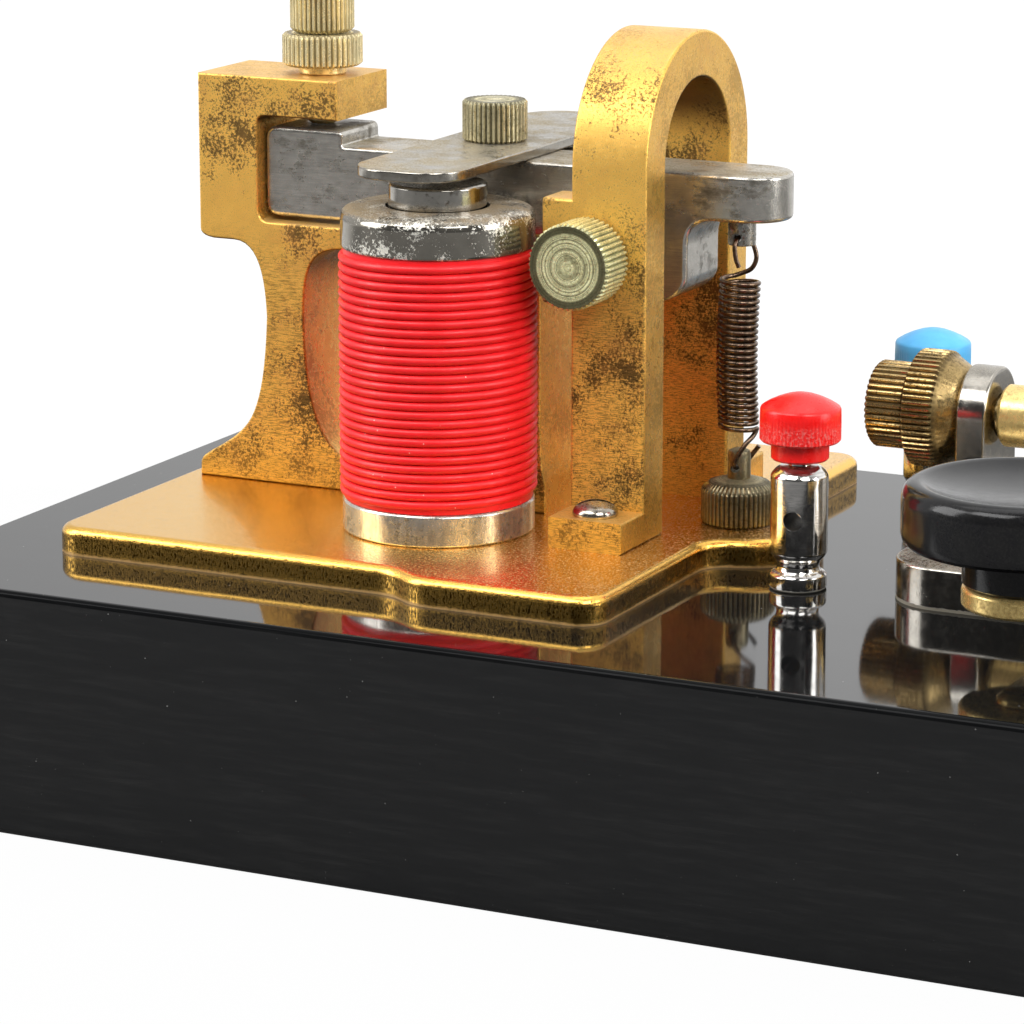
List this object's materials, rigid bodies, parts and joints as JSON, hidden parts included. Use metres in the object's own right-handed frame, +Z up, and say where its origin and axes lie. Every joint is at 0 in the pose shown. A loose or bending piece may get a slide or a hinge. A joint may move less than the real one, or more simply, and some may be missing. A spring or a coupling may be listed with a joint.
{
  "type": "telegraph key and sounder set",
  "caption": "Morse key and electromagnetic telegraph sounder on a black lacquered board, with sprung levers, knurled adjusting screws and colour-capped terminals.",
  "frame": {"origin": "centre of the board's bottom face, on the surface it stands on", "axes": "+X along the board's long edge from the sounder to the key, +Y from the knob's side to the back, +Z up"},
  "size_m": [0.194, 0.107, 0.1022],
  "materials": {
    "lacquer": "black high-gloss lacquer on wood",
    "fibre": "black pressed fibre sheet",
    "steel": "plain steel",
    "gold_plate": "polished, gold lacquered",
    "gold_satin": "satin, gold lacquered, with age speckle",
    "nickel": "nickel plated, slightly dusty",
    "chrome": "bright plating",
    "iron": "soft iron, bright",
    "red_wire": "glossy red wire insulation",
    "aged_brass": "knurled, aged",
    "spring_steel": "dark spring wire",
    "red_plastic": "satin moulded",
    "blue_plastic": "satin moulded",
    "brass": "turned and polished",
    "black_plastic": "gloss moulded, slightly dusty"
  },
  "bodies": {
    "frame": {"board": "lacquer", "bottom_cover": "fibre", "cover_screw_1": "steel", "cover_screw_2": "steel", "cover_screw_3": "steel", "cover_screw_4": "steel", "sounder_base": "gold_plate", "anvil_frame": "gold_satin", "arch_frame": "gold_satin", "arch_foot_screw_front": "nickel", "arch_foot_screw_back": "nickel", "coil_core_front": "iron", "coil_core_back": "iron", "coil_ring_front": "nickel", "coil_ring_back": "nickel", "coil_winding_front": "red_wire", "coil_winding_back": "red_wire", "coil_cap_front": "nickel", "coil_cap_back": "nickel", "coil_screw_front": "steel", "coil_screw_back": "steel", "return_spring": "spring_steel", "post_body_red": "chrome", "post_nut_red": "brass", "post_body_blue": "chrome", "post_nut_blue": "brass", "key_base": "nickel", "contact_bush": "fibre", "contact_stud": "brass", "key_spring": "spring_steel", "key_base_screw_left": "steel", "key_base_screw_right": "steel", "wire_red_to_coil": "red_wire", "wire_coil_link": "red_wire", "wire_coil_to_key": "red_wire", "wire_key_to_blue": "red_wire"},
    "sounder_lever": {"sounder_lever": "nickel", "armature": "nickel", "spring_pin": "spring_steel"},
    "armature_screw": {"armature_screw": "aged_brass"},
    "stop_screw": {"stop_screw": "aged_brass"},
    "stop_lock_nut": {"stop_lock_nut": "aged_brass"},
    "pivot_screw_front": {"pivot_screw_front": "aged_brass"},
    "pivot_screw_back": {"pivot_screw_back": "aged_brass"},
    "spring_adjuster": {"spring_adjuster": "aged_brass"},
    "post_cap_red": {"post_cap_red": "red_plastic"},
    "post_cap_blue": {"post_cap_blue": "blue_plastic"},
    "key_lever": {"key_lever": "brass", "key_knob": "black_plastic", "knob_screw": "brass", "lever_contact": "chrome"},
    "trunnion_screw_left": {"trunnion_screw_left": "aged_brass"},
    "trunnion_screw_right": {"trunnion_screw_right": "aged_brass"},
    "trunnion_nut_left": {"trunnion_nut_left": "aged_brass"},
    "trunnion_nut_right": {"trunnion_nut_right": "aged_brass"},
    "spring_screw": {"spring_screw": "aged_brass"},
    "spring_screw_nut": {"spring_screw_nut": "aged_brass"},
    "back_stop_screw": {"back_stop_screw": "aged_brass"},
    "back_stop_nut": {"back_stop_nut": "aged_brass"}
  },
  "joints": [
    {"name": "sounder_lever_pivot", "type": "hinge", "parent": "frame", "child": "sounder_lever", "pos_m": [-0.0194, 0.00525, 0.06975], "axis": [0, 1, 0], "range_deg": [-0.5, 0], "stiffness_Nm_per_rad": 0.054, "springref_deg": 22.92},
    {"name": "armature_screw_turn", "type": "hinge", "parent": "sounder_lever", "child": "armature_screw", "pos_m": [-0.0402, 0.00525, 0.0812], "axis": [0, 0, 1], "range_deg": [0, 360]},
    {"name": "stop_screw_advance", "type": "slide", "parent": "frame", "child": "stop_screw", "axis": [0, 0, 1], "range_m": [0, 0.002]},
    {"name": "stop_lock_nut_turn", "type": "hinge", "parent": "frame", "child": "stop_lock_nut", "pos_m": [-0.065, 0.00525, 0.0912], "axis": [0, 0, 1], "range_deg": [0, 360]},
    {"name": "pivot_screw_front_advance", "type": "slide", "parent": "frame", "child": "pivot_screw_front", "axis": [0, -1, 0], "range_m": [0, 0.001]},
    {"name": "pivot_screw_back_advance", "type": "slide", "parent": "frame", "child": "pivot_screw_back", "axis": [0, 1, 0], "range_m": [0, 0.001]},
    {"name": "spring_adjuster_advance", "type": "slide", "parent": "frame", "child": "spring_adjuster", "axis": [0, 0, 1], "range_m": [0, 0.0015], "deforming": ["return_spring"]},
    {"name": "post_cap_red_lift", "type": "slide", "parent": "frame", "child": "post_cap_red", "axis": [0, 0, 1], "range_m": [0, 0.003]},
    {"name": "post_cap_blue_lift", "type": "slide", "parent": "frame", "child": "post_cap_blue", "axis": [0, 0, 1], "range_m": [0, 0.003]},
    {"name": "key_lever_pivot", "type": "hinge", "parent": "frame", "child": "key_lever", "pos_m": [0.043, 0.02125, 0.04815], "axis": [1, 0, 0], "range_deg": [0, 1], "stiffness_Nm_per_rad": 0.144, "springref_deg": -14.32, "deforming": ["key_spring"]},
    {"name": "trunnion_screw_left_advance", "type": "slide", "parent": "frame", "child": "trunnion_screw_left", "axis": [-1, 0, 0], "range_m": [0, 0.001]},
    {"name": "trunnion_screw_right_advance", "type": "slide", "parent": "frame", "child": "trunnion_screw_right", "axis": [1, 0, 0], "range_m": [0, 0.001]},
    {"name": "trunnion_nut_left_turn", "type": "hinge", "parent": "frame", "child": "trunnion_nut_left", "pos_m": [0.015, 0.02125, 0.04815], "axis": [1, 0, 0], "range_deg": [0, 360]},
    {"name": "trunnion_nut_right_turn", "type": "hinge", "parent": "frame", "child": "trunnion_nut_right", "pos_m": [0.071, 0.02125, 0.04815], "axis": [1, 0, 0], "range_deg": [0, 360]},
    {"name": "spring_screw_advance", "type": "slide", "parent": "key_lever", "child": "spring_screw", "axis": [0, 0, 1], "range_m": [0, 0.001]},
    {"name": "spring_screw_nut_turn", "type": "hinge", "parent": "key_lever", "child": "spring_screw_nut", "pos_m": [0.043, 0.00925, 0.0512], "axis": [0, 0, 1], "range_deg": [0, 360]},
    {"name": "back_stop_screw_advance", "type": "slide", "parent": "key_lever", "child": "back_stop_screw", "axis": [0, 0, 1], "range_m": [0, 0.0015]},
    {"name": "back_stop_nut_turn", "type": "hinge", "parent": "key_lever", "child": "back_stop_nut", "pos_m": [0.043, 0.03975, 0.0512], "axis": [0, 0, 1], "range_deg": [0, 360]}
  ]
}
